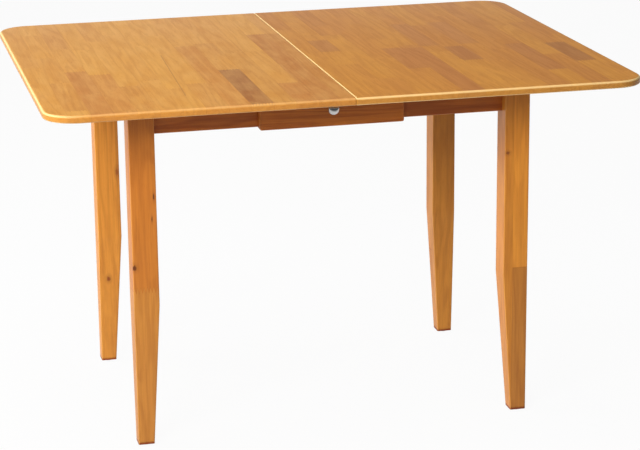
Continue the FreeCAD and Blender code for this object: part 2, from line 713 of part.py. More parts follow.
def drawer_front():
    """The show front: it overlaps the apron and drops just below it."""
    half = DRAWER_FRONT_WIDTH / 2
    face = DRAWER_FACE_Y - DRAWER_FRONT_THICKNESS
    board = block(-half, half, face, DRAWER_FACE_Y, FRONT_BOTTOM, FRONT_TOP)
    corners = [e for side in (-1, 1) for z in (FRONT_BOTTOM, FRONT_TOP)
               for e in edges_where(board, lambda p: near(p.x, side * half) and near(p.z, z))]
    board = board.makeFillet(DRAWER_FRONT_RADIUS, corners)
    rim = edges_where(board, lambda p: near(p.y, face))
    board = board.makeFillet(DRAWER_FRONT_EASE, rim)
    return cut_all(board, [knob_bolt()] + front_screws())


def drawer_stops():
    """Cleats on the drawer's sides that meet the apron when it is pulled out."""
    y0 = -LONG_APRON_BACK + RUNNING_GAP + DRAWER_TRAVEL
    return [block(side * DRAWER_INNER_X, side * DRAWER_OUTER_X, y0, y0 + STOP_LENGTH,
                  DRAWER_TOP, LEAF_SEAT - RUNNING_GAP) for side in (-1, 1)]


# ---------------------------------------------------------------- seam catches
PLATE_BOTTOM = UNDERSIDE - CATCH_PLATE_THICKNESS
LEVER_TOP = PLATE_BOTTOM - RUNNING_GAP
LEVER_BOTTOM = LEVER_TOP - CATCH_LEVER_THICKNESS
CATCH_REACH = CATCH_PIVOT_INSET + CATCH_KEEPER_INSET


def catch_screw_places(x):
    """Screw places at both ends of a catch plate centred on x."""
    shift = CATCH_PLATE_LENGTH / 2 - CATCH_SCREW_MARGIN
    return [x - shift, x + shift]


def catch_screws(x, face):
    """Small screws up through a catch plate."""
    y = face * (CATCH_OFFSET + CATCH_PLATE_WIDTH / 4)
    return [rod(SCREW_RADIUS, Vector(sx, y, PLATE_BOTTOM), Vector(0, 0, 1), SCREW_LENGTH)
            for sx in catch_screw_places(x)]


def catch_plate(x, face):
    """A pressed steel plate under the top."""
    half_x, half_y = CATCH_PLATE_LENGTH / 2, CATCH_PLATE_WIDTH / 2
    y = face * CATCH_OFFSET
    plate = block(x - half_x, x + half_x, y - half_y, y + half_y, PLATE_BOTTOM, UNDERSIDE)
    plate = plate.makeFillet(CATCH_PLATE_CORNER, [e for e in plate.Edges if is_upright(e)])
    return cut_all(plate, catch_screws(x, face))


def catch_pin(x, face):
    """A headed pin that stands down from a catch plate."""
    y = face * CATCH_OFFSET
    length = PLATE_BOTTOM - LEVER_BOTTOM + RUNNING_GAP + CATCH_HEAD_THICKNESS
    shank = rod(CATCH_PIN_RADIUS, Vector(x, y, PLATE_BOTTOM), Vector(0, 0, -1), length)
    head = rod(CATCH_HEAD_RADIUS, Vector(x, y, LEVER_BOTTOM - RUNNING_GAP),
               Vector(0, 0, -1), CATCH_HEAD_THICKNESS)
    return shank.fuse(head).removeSplitter()


def catch_lever(face):
    """A flat hook that swings about its pin; released, it lies along the seam.

    It points away from the middle of the table, and its slot is an arc about the
    pivot, open on the side that meets the keeper."""
    half = CATCH_LEVER_WIDTH / 2
    up = Vector(0, 0, 1)
    pivot = Vector(-CATCH_PIVOT_INSET, CATCH_OFFSET, LEVER_BOTTOM)
    tail = pivot - Vector(0, CATCH_TAIL_LENGTH, 0)
    tip = pivot + Vector(0, CATCH_REACH, 0)
    bar = block(pivot.x - half, pivot.x + half, tail.y, tip.y, LEVER_BOTTOM, LEVER_TOP)
    for end in (tail, tip):
        bar = bar.fuse(rod(half, end, up, CATCH_LEVER_THICKNESS))
    slot = CATCH_PIN_RADIUS + CATCH_STUD_GAP
    arc = rod(CATCH_REACH + slot, pivot, up, CATCH_LEVER_THICKNESS)
    arc = arc.cut(rod(CATCH_REACH - slot, pivot, up, CATCH_LEVER_THICKNESS))
    open_side = block(pivot.x, pivot.x + CATCH_LEVER_WIDTH, pivot.y, tip.y + CATCH_LEVER_WIDTH,
                      LEVER_BOTTOM, LEVER_TOP)
    eye = rod(CATCH_PIN_RADIUS + CATCH_PIN_GAP, pivot, up, CATCH_LEVER_THICKNESS)
    cuts = [arc.common(open_side), rod(slot, tip, up, CATCH_LEVER_THICKNESS), eye]
    return flip(cut_all(bar.removeSplitter(), cuts), 1, face)


# ---------------------------------------------------------------- the assembly
def group(pieces):
    """Separate solids that share one node."""
    return Part.makeCompound(pieces)


def top_parts():
    """Both halves of the top, with their runners, pegs and seam catches."""
    parts = {}
    catch_x = {"left": -CATCH_PIVOT_INSET, "right": CATCH_KEEPER_INSET + CATCH_PLATE_SHIFT}
    for name, side in SIDES.items():
        x = catch_x[name]
        for face_name, face in FACES.items():
            parts["slide_runner_%s_%s" % (name, face_name)] = flip(runner(), side, face)
        long_screws = [flip(s, side, face) for face in FACES.values() for s in runner_screws()]
        short_screws = [s for face in FACES.values() for s in catch_screws(x, face)]
        parts["slide_runner_screws_" + name] = group(long_screws)
        parts["catch_plates_" + name] = group([catch_plate(x, f) for f in FACES.values()])
        parts["catch_screws_" + name] = group(short_screws)
        parts["top_" + name] = top_half(side, long_screws + short_screws)
    middle = UNDERSIDE + TOP_THICKNESS / 2
    parts["seam_pegs"] = group(pegs(-SEAM_GAP / 2, seam_peg_ys(), middle))
    for name, x in (("catch_pivots", -CATCH_PIVOT_INSET), ("catch_keepers", CATCH_KEEPER_INSET)):
        parts[name] = group([catch_pin(x, face) for face in FACES.values()])
    for face_name, face in FACES.items():
        parts["catch_lever_" + face_name] = catch_lever(face)
    return parts


def leaf_parts():
    """The folded leaf: two wings, their pegs and the hinges at the far fold."""
    pins = hinge_pins()
    leaf_pegs = [peg for z in hinge_levels() for peg in pegs(LEAF_WIDTH / 2, wing_peg_ys(), z)]
    return {
        "leaf_wing_lower": leaf_wing(LEAF_SEAT, 1),
        "leaf_wing_upper": leaf_wing(UPPER_WING_BOTTOM, -1),
        "leaf_pegs": group(leaf_pegs),
        "leaf_hinge_arms": group([cut_all(arm, pins) for arm in hinge_arms()]),
        "leaf_hinge_links": group([cut_all(link, pins) for link in hinge_links()]),
        "leaf_hinge_pins": group(pins),
    }


def frame_parts():
    """Legs, aprons, corner braces and their fixings, tracks, rails and glides."""
    parts = {}
    screws = at_corners(brace_screws)
    for name, side in SIDES.items():
        for face_name, face in FACES.items():
            parts["leg_%s_%s" % (face_name, name)] = flip(leg(), side, face)
            parts["corner_brace_%s_%s" % (face_name, name)] = flip(brace(), side, face)
        fixings = strip_screws(side)
        parts["apron_" + name] = end_apron(side, screws)
        parts["cross_rail_" + name] = cut_all(cross_rail(side), fixings)
        parts["drawer_strip_" + name] = slide_strip(side)
    parts["apron_near"] = long_apron(FACES["near"], [drawer_notch()] + screws)
    parts["apron_far"] = long_apron(FACES["far"], screws)
    for face_name, face in FACES.items():
        parts["slide_track_" + face_name] = flip(track(), 1, face)
    parts["brace_screws"] = group(screws)
    parts["drawer_strip_screws"] = group(strip_screws(-1) + strip_screws(1))
    for name, make in (("hanger_bolts", hanger_bolt), ("hanger_washers", washer),
                       ("hanger_nuts", nut)):
        parts[name] = group(at_corners(lambda: [make(z) for z in bolt_levels()]))
    parts["foot_glides"] = group(at_corners(lambda: [foot_glide()]))
    parts["top_glides"] = group(top_glides())
    return parts


def drawer_parts():
    """The drawer box, its show front and knob, their fixings and the stops."""
    parts = {"drawer_side_" + name: drawer_side(side) for name, side in SIDES.items()}
    cuts = [knob_bolt()] + front_screws()
    parts["drawer_box_front"] = cut_all(drawer_end(DRAWER_FACE_Y), cuts)
    parts["drawer_back"] = drawer_end(DRAWER_BACK_Y - DRAWER_BOARD)
    parts["drawer_bottom"] = drawer_bottom()
    parts["drawer_front"] = drawer_front()
    parts["drawer_front_screws"] = group(front_screws())
    parts["drawer_knob"] = knob()
    parts["drawer_knob_bolt"] = knob_bolt()
    parts["drawer_stops"] = group(drawer_stops())
    return parts


def export(parts):
    os.makedirs("parts", exist_ok=True)
    for name, shape in parts.items():
        if not shape.isValid():
            print("not valid:", name)
        shape.exportStep("parts/%s.step" % name)
    print(len(parts), "parts written")


export({**top_parts(), **leaf_parts(), **frame_parts(), **drawer_parts()})
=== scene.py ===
import math

import bpy
from mathutils import Matrix, Vector

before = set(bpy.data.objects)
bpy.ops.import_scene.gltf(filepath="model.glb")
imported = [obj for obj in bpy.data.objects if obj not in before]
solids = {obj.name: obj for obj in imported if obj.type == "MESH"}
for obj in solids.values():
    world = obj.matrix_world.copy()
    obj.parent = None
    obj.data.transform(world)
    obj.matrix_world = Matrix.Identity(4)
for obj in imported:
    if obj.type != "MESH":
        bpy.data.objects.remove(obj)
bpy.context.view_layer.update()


# ---------------------------------------------------------------- legs
# Knotty softwood: two lengths finger-jointed end to end, two such boards glued side by
# side, planed square and tapered on the two inner faces, then stained and lacquered. Two
# hanger bolts through a corner brace hold each leg.
MM = 0.001
# Width and length in mm of the fibres and pores. Real ones are a few tenths of a
# millimetre wide and are drawn coarser, to show.
FIBRE_SIZE = (3.6, 120.0)
PORE_SIZE = (1.5, 22.0)
# How deep in metres the lacquer leaves the grain open.
GRAIN_RELIEF = 0.00012
# The figure: width and length in mm of a swirl of growth rings, the turns it holds, and
# how dark rings, fibres and pores are.
LEG_FIGURE = ((48.0, 420.0), 44.0, (0.08, 0.10, 0.05))
# The pale tone on eased edges, thin stain with a painted highlight on it, and how far it covers.
LEG_EDGE_HIGHLIGHT = ("e2ad62", 0.35)
# How far apart the places lie that each board's grain is taken from, in features of it.
LEG_SPREAD = 500.0
# The finger joints in mm: pitch of the teeth, and how far the dark of the glue reaches.
TOOTH_PITCH = 6.6
JOINT_LINE = 1.6
# The redder wood round a knot.
KNOT_HALO = "8a4a1c"
# A painted shadow at the foot's end, where it stands on its glide: dark up to the first
# height in mm, none at the second.
FOOT_PAINTED_SHADOW = (5.0, 10.0)
# For each leg: the axis and place (mm) where its two boards meet, the joint height of
# each board, the length of the joint's teeth, the tones (first board low and high, second
# board low and high) and the knots as centre, half width, half height and heart tone.
# The board tones are partly the wood's own and partly painted light: they also stand in for how
# much light falls on each leg and on its upper and lower parts.
LEGS = {
    "leg_near_left": ("Y", -258.0, (342.0, 560.0), 13.0,
                      ("c98433", "c77928", "c8822f", "cc842e"),
                      [((-370.6, -287.0, 530.0), 1.8, 8.0, "4a2008"),
                       ((-375.5, -287.0, 484.0), 1.4, 6.0, "542408"),
                       ((-414.5, -287.0, 384.0), 5.0, 6.5, "5c2406")]),
    "leg_near_right": ("X", 385.0, (700.0, 320.0), 0.0,
                       ("d2872e", "cf852e", "bf7a2c", "e09231"),
                       [((371.5, -287.0, 569.0), 4.5, 3.6, "7d3f1a")]),
    "leg_far_left": ("X", -372.0, (14.0, 620.0), 13.0,
                     ("df9a3a", "de9336", "d28831", "d48b33"),
                     [((-397.5, 241.0, 202.0), 4.6, 6.5, "8a3c0c"),
                      ((-370.5, 234.0, 452.0), 4.0, 9.0, "96521f")]),
    "leg_far_right": ("Y", 260.0, (610.0, 210.0), 13.0,
                      ("d88e32", "d1852e", "d28830", "d68a31"),
                      [((392.0, 287.0, 330.0), 4.0, 5.0, "5a2c12")]),
}


def linear(code):
    """A hex sRGB colour as linear RGBA."""
    values = [int(code[i:i + 2], 16) / 255 for i in (0, 2, 4)]
    bent = [v / 12.92 if v <= 0.04045 else ((v + 0.055) / 1.055) ** 2.4 for v in values]
    return (*bent, 1.0)


def add(tree, kind, links=None, stops=None, **settings):
    """Adds one node. links gives its inputs as sockets, nodes or values; stops a ramp."""
    made = tree.nodes.new("ShaderNode" + kind)
    for name, value in settings.items():
        setattr(made, name, value)
    for name, value in (links or {}).items():
        if isinstance(value, bpy.types.Node):
            value = value.outputs[0]
        if isinstance(value, bpy.types.NodeSocket):
            tree.links.new(value, made.inputs[name])
        else:
            made.inputs[name].default_value = value
    for i, (place, colour) in enumerate(stops or []):
        stop = made.color_ramp.elements[i] if i < 2 else made.color_ramp.elements.new(place)
        stop.position = place
        stop.color = linear(colour)
    return made


def new_material(name):
    """An empty node material; returns it, its tree and its shader."""
    made = bpy.data.materials.new(name)
    made.use_nodes = True
    return made, made.node_tree, made.node_tree.nodes["Principled BSDF"]


def dress(material, names):
    """Gives CAD solids their finish."""
    for name in names:
        slots = solids[name].data.materials
        slots.clear()
        slots.append(material)


def place_in_mm(tree, order="XYZ"):
    """Where a point lies in the table's frame, in mm, with the axes in a given order."""
    raw = add(tree, "TexCoord").outputs["Object"]
    scaled = add(tree, "VectorMath", {0: raw, "Scale": 1 / MM}, operation="SCALE")
    axes = add(tree, "SeparateXYZ", {0: scaled}).outputs
    return add(tree, "CombineXYZ", dict(enumerate(axes[axis] for axis in order)))


def grain_noise(tree, place, across, along, shift, detail=2.0, roughness=0.5, distortion=0.0):
    """Noise with features of a size across and along the grain (Y), in mm."""
    ratio = (1 / across, 1 / along, 1 / across)
    drawn = add(tree, "VectorMath", {0: place, 1: ratio, 2: shift}, operation="MULTIPLY_ADD")
    return add(tree, "TexNoise", {"Vector": drawn, "Scale": 1.0, "Detail": detail,
                                  "Roughness": roughness, "Distortion": distortion})


def wood_figure(tree, place, shift, ring_size, ring_turns, depths):
    """How much light the figure leaves: growth rings, fibres and pores along Y."""
    rings, fibres, pores = depths
    field = grain_noise(tree, place, *ring_size, shift, 2.0, 0.45, 0.2)
    turns = add(tree, "Math", {0: field, 1: ring_turns}, operation="MULTIPLY")
    wave = add(tree, "Math", {0: turns}, operation="SINE")
    ring = add(tree, "MapRange", {0: wave, 1: -0.4, 2: 1.0, 3: 1.0, 4: 1.0 - rings},
               interpolation_type="SMOOTHSTEP")
    fibre = grain_noise(tree, place, *FIBRE_SIZE, shift, 4.0, 0.62)
    streak = add(tree, "MapRange", {0: fibre, 1: 0.36, 2: 0.64, 3: 1.0 - fibres, 4: 1.0})
    dash = grain_noise(tree, place, *PORE_SIZE, shift, 1.0)
    pore = add(tree, "MapRange", {0: dash, 1: 0.60, 2: 0.72, 3: 1.0, 4: 1.0 - pores})
    both = add(tree, "Math", {0: ring, 1: streak}, operation="MULTIPLY")
    return add(tree, "Math", {0: both, 1: pore}, operation="MULTIPLY")


def eased_edges(tree, round_corners=False):
    """1 on edges that are rounded over or bevelled, 0 on flat faces."""
    normal = add(tree, "NewGeometry").outputs["Normal"]
    turned = add(tree, "VectorMath", {0: normal}, operation="ABSOLUTE")
    x, y, z = add(tree, "SeparateXYZ", {0: turned}).outputs
    sideways = add(tree, "Math", {0: x, 1: y}, operation="MAXIMUM")
    if round_corners:
        level = add(tree, "VectorMath", {0: turned, 1: (1.0, 1.0, 0.0)}, operation="MULTIPLY")
        sideways = add(tree, "VectorMath", {0: level}, operation="LENGTH").outputs["Value"]
    flat = add(tree, "Math", {0: sideways, 1: z}, operation="MAXIMUM")
    return add(tree, "MapRange", {0: flat, 1: 0.97, 2: 0.84, 3: 0.0, 4: 1.0})


def stained(tree, colour, light, edges, edge_highlight_tone, edge_highlight_share):
    """The stain dimmed by the figure, whose dark is redder, and paler on eased edges, where the
    stain is thin and a painted highlight lies.
    """
    warm = add(tree, "ValToRGB", {0: light}, stops=[(0.5, "a8744c"), (1.0, "ffffff")])
    deep = add(tree, "MixRGB", {0: 1.0, 1: colour, 2: warm}, blend_type="MULTIPLY")
    # Eased edges take a pale tone: thin stain plus a painted highlight.
    share = add(tree, "Math", {0: edges, 1: edge_highlight_share}, operation="MULTIPLY")
    return add(tree, "MixRGB", {0: share, 1: deep, 2: linear(edge_highlight_tone)})


def lacquer(tree, shader, colour, light, roughness=0.42, coat=0.15):
    """Satin lacquer over wood: a thin clear coat that leaves the grain slightly open."""
    tree.links.new(colour.outputs[0], shader.inputs["Base Color"])
    dull = add(tree, "MapRange", {0: light, 1: 0.7, 2: 1.0, 3: roughness + 0.12, 4: roughness})
    tree.links.new(dull.outputs[0], shader.inputs["Roughness"])
    bump = add(tree, "Bump", {"Strength": 0.35, "Distance": GRAIN_RELIEF, "Height": light})
    tree.links.new(bump.outputs[0], shader.inputs["Normal"])
    shader.inputs["IOR"].default_value = 1.45
    shader.inputs["Coat Weight"].default_value = coat
    shader.inputs["Coat Roughness"].default_value = 0.3
    shader.inputs["Coat IOR"].default_value = 1.45


def leg_wood(leg, number):
    """Knotty softwood with this leg's own joints, tones and knots."""
    axis, glue, joints, tooth_length, tones, knots = LEGS[leg]
    made, tree, shader = new_material("honey_knotty_softwood_" + leg)
    place = place_in_mm(tree, "XZY")
    x, z, y = add(tree, "SeparateXYZ", {0: place}).outputs
    across, width = (x, y) if axis == "X" else (y, x)
    board = add(tree, "Math", {0: across, 1: glue}, operation="GREATER_THAN")
    joint = add(tree, "Math", {0: board, 1: joints[1] - joints[0], 2: joints[0]},
                operation="MULTIPLY_ADD")
    saw = add(tree, "Math", {0: width, 1: TOOTH_PITCH / 2}, operation="PINGPONG")
    toothed = add(tree, "Math", {0: saw, 1: tooth_length / TOOTH_PITCH * 2, 2: z},
                  operation="MULTIPLY_ADD")
    upper = add(tree, "Math", {0: toothed, 1: joint}, operation="GREATER_THAN")
    first = add(tree, "MixRGB", {0: upper, 1: linear(tones[0]), 2: linear(tones[1])})
    second = add(tree, "MixRGB", {0: upper, 1: linear(tones[2]), 2: linear(tones[3])})
    colour = add(tree, "MixRGB", {0: board, 1: first, 2: second})
    piece_id = add(tree, "CombineXYZ", {0: board, 1: upper, 2: number})
    lot = add(tree, "TexWhiteNoise", {"Vector": piece_id}, noise_dimensions="3D")
    shift = add(tree, "VectorMath", {0: lot.outputs["Color"], "Scale": LEG_SPREAD},
                operation="SCALE")
    figure = wood_figure(tree, place, shift, *LEG_FIGURE)
    seam = add(tree, "Math", {0: toothed, 1: joint}, operation="SUBTRACT")
    gap = add(tree, "Math", {0: seam}, operation="ABSOLUTE")
    glue_dark = add(tree, "MapRange", {0: gap, 1: 0.0, 2: JOINT_LINE, 3: 0.84, 4: 1.0})
    body = add(tree, "Math", {0: figure, 1: glue_dark}, operation="MULTIPLY")
    # Painted shadow along the foot's bottom edge.
    foot_shadow = add(tree, "MapRange", {0: z, 1: FOOT_PAINTED_SHADOW[0], 2: FOOT_PAINTED_SHADOW[1], 3: 0.5, 4: 1.0})
    light = add(tree, "Math", {0: body, 1: foot_shadow}, operation="MULTIPLY")
    wood = stained(tree, colour, light, eased_edges(tree), *LEG_EDGE_HIGHLIGHT)
    ragged = grain_noise(tree, place, 3.0, 4.0, shift, 3.0)
    for (knot_x, knot_y, knot_z), half_width, half_height, heart in knots:
        away = add(tree, "VectorMath", {0: place, 1: (knot_x, knot_z, knot_y)},
                   operation="SUBTRACT")
        scaled = add(tree, "VectorMath", {0: away, 1: (1 / half_width, 1 / half_height,
                                                       1 / half_width)}, operation="MULTIPLY")
        reach = add(tree, "VectorMath", {0: scaled}, operation="LENGTH").outputs["Value"]
        edge = add(tree, "Math", {0: ragged, 1: 0.9, 2: reach}, operation="MULTIPLY_ADD")
        halo = add(tree, "MapRange", {0: edge, 1: 0.9, 2: 2.9, 3: 0.45, 4: 0.0})
        core = add(tree, "MapRange", {0: edge, 1: 1.0, 2: 1.5, 3: 0.88, 4: 0.0})
        wood = add(tree, "MixRGB", {0: halo, 1: wood, 2: linear(KNOT_HALO)})
        wood = add(tree, "MixRGB", {0: core, 1: wood, 2: linear(heart)})
    lacquer(tree, shader, wood, light, coat=0.12)
    return made


for number, leg in enumerate(LEGS):
    dress(leg_wood(leg, number + 1.0), [leg])


# ---------------------------------------------------------------- aprons
# Rails of the same softwood, planed and eased, with the grain along the rail, held to the
# legs by the corner braces. Their tones are drawn redder and deeper than the legs': painted
# shade, for the shade that the top casts on them.
RAIL_TONES_WITH_PAINTED_SHADE = [(0.3, "b8661d"), (0.7, "c37021")]
RAIL_CLOUD = (60.0, 420.0)
RAIL_FIGURE = ((40.0, 520.0), 40.0, (0.16, 0.12, 0.06))
# The pale tone on eased edges, thin stain with a painted highlight on it, and how far it covers.
RAIL_EDGE_HIGHLIGHT = ("c98a46", 0.35)


def rail_wood(name, order, tones, seed):
    """Stained softwood. The middle letter of order is the axis that the grain runs along."""
    made, tree, shader = new_material(name)
    place = place_in_mm(tree, order)
    shift = (seed, seed * 0.7, seed * 1.3)
    cloud = grain_noise(tree, place, *RAIL_CLOUD, shift)
    colour = add(tree, "ValToRGB", {0: cloud}, stops=tones)
    light = wood_figure(tree, place, shift, *RAIL_FIGURE)
    wood = stained(tree, colour, light, eased_edges(tree), *RAIL_EDGE_HIGHLIGHT)
    lacquer(tree, shader, wood, light, coat=0.12)
    return made


dress(rail_wood("honey_softwood_long_rail", "YXZ", RAIL_TONES_WITH_PAINTED_SHADE, 11.0), ["apron_near", "apron_far"])
dress(rail_wood("honey_softwood_end_rail", "XYZ", RAIL_TONES_WITH_PAINTED_SHADE, 23.0), ["apron_left", "apron_right"])


# ---------------------------------------------------------------- corner braces and cross rails
# Planed rubberwood, sealed but not stained. The braces are screwed across the corners of
# the aprons. The cross rails sit in the long aprons, and the folded leaf lies on them.
SEALED_TONES = [(0.3, "cfa373"), (0.7, "dcb484")]
SEALED_CLOUD = (70.0, 300.0)
SEALED_FIGURE = ((50.0, 500.0), 44.0, (0.08, 0.12, 0.14))
# A pale tone on eased edges, a painted highlight, and how far it covers.
SEALED_EDGE_HIGHLIGHT = ("e8cda2", 0.3)


def plain_wood(name, order, tones):
    """Sealed wood, duller than the lacquered pieces; order as for the rails."""
    made, tree, shader = new_material(name)
    place = place_in_mm(tree, order)
    cloud = grain_noise(tree, place, *SEALED_CLOUD, (0.0, 0.0, 0.0))
    colour = add(tree, "ValToRGB", {0: cloud}, stops=tones)
    light = wood_figure(tree, place, (5.0, 9.0, 2.0), *SEALED_FIGURE)
    wood = stained(tree, colour, light, eased_edges(tree), *SEALED_EDGE_HIGHLIGHT)
    lacquer(tree, shader, wood, light, roughness=0.55, coat=0.0)
    return made


sealed_along_y = plain_wood("sealed_rubberwood_along_y", "XYZ", SEALED_TONES)
sealed_along_x = plain_wood("sealed_rubberwood_along_x", "YXZ", SEALED_TONES)
dress(sealed_along_x, [name for name in solids if name.startswith("corner_brace")])
dress(sealed_along_y, ["cross_rail_left", "cross_rail_right"])


# ---------------------------------------------------------------- slides
# Extruded aluminium as it leaves the die: C tracks let into the long aprons and T runners
# screwed under the top. The die leaves fine lines along X that dull the shine. They are
# finer than a millimetre and drawn coarser, to show.
DIE_LINES = (90.0, 1.2, 1.2)


def metal(name, code, roughness, marks, relief):
    """Metal. marks are the length, width and height in mm of its surface marks, relief is
    their depth in metres."""
    made, tree, shader = new_material(name)
    ratio = tuple(1 / size for size in marks)
    drawn = add(tree, "VectorMath", {0: place_in_mm(tree), 1: ratio}, operation="MULTIPLY")
    cloud = add(tree, "TexNoise", {"Vector": drawn, "Scale": 1.0, "Detail": 3.0})
    tone = add(tree, "MapRange", {0: cloud, 1: 0.3, 2: 0.7, 3: 0.88, 4: 1.0})
    colour = add(tree, "MixRGB", {0: 1.0, 1: linear(code), 2: tone}, blend_type="MULTIPLY")
    rough = add(tree, "MapRange", {0: cloud, 1: 0.3, 2: 0.7, 3: roughness, 4: roughness * 1.25})
    bump = add(tree, "Bump", {"Strength": 0.3, "Distance": relief, "Height": cloud})
    tree.links.new(colour.outputs[0], shader.inputs["Base Color"])
    tree.links.new(rough.outputs[0], shader.inputs["Roughness"])
    tree.links.new(bump.outputs[0], shader.inputs["Normal"])
    shader.inputs["Metallic"].default_value = 1.0
    return made


dress(metal("mill_finish_aluminium", "c4c6ca", 0.34, DIE_LINES, 0.00003),
      ["slide_track_near", "slide_track_far", "slide_runner_left_near", "slide_runner_left_far",
       "slide_runner_right_near", "slide_runner_right_far"])


# ---------------------------------------------------------------- drawer box
# Planed rubberwood, sealed, with a birch plywood bottom let into grooves. It runs on
# strips screwed to the cross rails, and cleats stop it.
dress(sealed_along_y, ["drawer_strip_left", "drawer_strip_right", "drawer_side_left",
                       "drawer_side_right", "drawer_stops"])
dress(sealed_along_x, ["drawer_box_front", "drawer_back"])
dress(plain_wood("birch_plywood", "YXZ", [(0.3, "d2aa78"), (0.7, "dfbd8e")]), ["drawer_bottom"])


# ---------------------------------------------------------------- drawer front
# A board of the aprons' softwood with eased corners, planed, stained and lacquered, and
# screwed to the box from inside.
# Its tones, like the aprons', are drawn redder and deeper than the legs' as painted shade, for the
# shade under the top.
FRONT_TONES_WITH_PAINTED_SHADE = [(0.3, "be6b1e"), (0.7, "c87422")]
dress(rail_wood("honey_softwood_drawer_front", "YXZ", FRONT_TONES_WITH_PAINTED_SHADE, 35.0), ["drawer_front"])


# ---------------------------------------------------------------- drawer knob
# Turned steel, polished and chromed, so that it mirrors the room sharply. A bolt through
# the front holds it. The polish leaves slight waves, a few millimetres wide.
POLISH_WAVES = (6.0, 6.0, 6.0)
dress(metal("polished_chrome", "cfcdca", 0.06, POLISH_WAVES, 0.000002), ["drawer_knob"])


# ---------------------------------------------------------------- top halves and leaf
# Rubberwood sawn into staves 44 mm wide, finger-jointed end to end, edge-glued into panels,
# then stained honey and sprayed with satin lacquer. Each stave takes the stain a little
# differently. The eased rims and the seam bevels are drawn pale: the stain is thin there,
# and a painted highlight lies on them.
STAVE_WIDTH = 44.0
STAVE_TEETH = 7
TOOTH_LENGTH = 8.0
# In mm: where the first stave begins in X, how short a stave is at least, and how much
# longer it can be.
STAVE_START = {"top_left": -602.0, "top_right": 40.0, "leaf": -150.0}
STAVE_SHORTEST = 260.0
STAVE_SPREAD = 380.0
# How far apart the staves' first joints lie in mm, and the places that their grain is
# taken from in features of it.
START_SPREAD = 900.0
GRAIN_SPREAD = 700.0
STAVE_FIGURE = ((46.0, 620.0), 46.0, (0.06, 0.06, 0.09))
GLUE_LINE = 0.5
# The pale rims and seam bevels, thin stain with a painted highlight: its tone, and how
# strongly it covers the long edges and the ends.
RIM_HIGHLIGHT_TONE = "f0cd8c"
RIM_HIGHLIGHT_SHARE = {"top_left": (0.2, 0.95), "top_right": (0.75, 0.95), "leaf": (0.5, 0.7)}
# The tone of the end grain on flat faces, and how far it covers the staves' own.
END_GRAIN = {"top_left": "c8853a", "top_right": "c88c42", "leaf": "c88a40"}
END_GRAIN_SHARE = 0.7
STAVE_TONES = {
    "top_left": [(0.0, "cd9031"), (0.5, "c98b2f"), (0.85, "c5862d"), (1.0, "bf802b")],
    "top_right": [(0.0, "c5841f"), (0.5, "c17f1d"), (0.85, "bd7a1d"), (1.0, "b7751d")],
    "leaf": [(0.0, "cb8f39"), (0.5, "c78a36"), (0.85, "c28433"), (1.0, "b97a2e")],
}
# Width and length in mm of the slow changes of tone along a stave, and of the soft clouds
# in which the stain dries.
TONE_CLOUD = (60.0, 260.0)
STAIN_CLOUD = (26.0, 80.0)
CLOUD_TONES = {"top_left": "deac60", "top_right": "a5640f", "leaf": "dcae68"}
CLOUD_SHARE = 0.25
# Staves that took up more stain: half, stave counted from the left, near end, far end, tone.
DEEP_STAVES = [
    ("top_left", 2, -480.0, -70.0, "b77527"),
    ("top_left", 3, -480.0, -112.0, "c07f2c"),
    ("top_left", 9, -350.0, -140.0, "9b6226"),
    ("top_left", 9, -472.0, -350.0, "9a5d18"),
    ("top_left", 8, -480.0, 130.0, "bf7e2a"),
    ("top_left", 10, -480.0, 60.0, "bf8026"),
    ("top_left", 11, -480.0, -300.0, "b67323"),
    ("top_left", 12, -480.0, 218.0, "b27020"),
    ("top_left", 13, -480.0, 218.0, "b67521"),
    ("top_right", 0, -20.0, 110.0, "b27327"),
    ("top_right", 3, -240.0, -20.0, "b27025"),
    ("top_right", 4, -480.0, -30.0, "b06e23"),
    ("top_right", 6, -190.0, -40.0, "ab6b23"),
    ("top_right", 5, -20.0, 240.0, "b57428"),
    ("top_right", 7, -20.0, 240.0, "b77629"),
    ("top_right", 9, -330.0, -50.0, "b06f24"),
    ("top_right", 11, -262.0, -62.0, "a36720"),
]
# Thin dark streaks in the grain: half, X and Y of the near end, X and Y of the far end.
STREAKS = [("top_left", -313.0, -362.0, -294.0, 43.0)]
STREAK_HALF_WIDTH = 1.6
STREAK_TONE = "7d4616"
STREAK_SHARE = 0.5


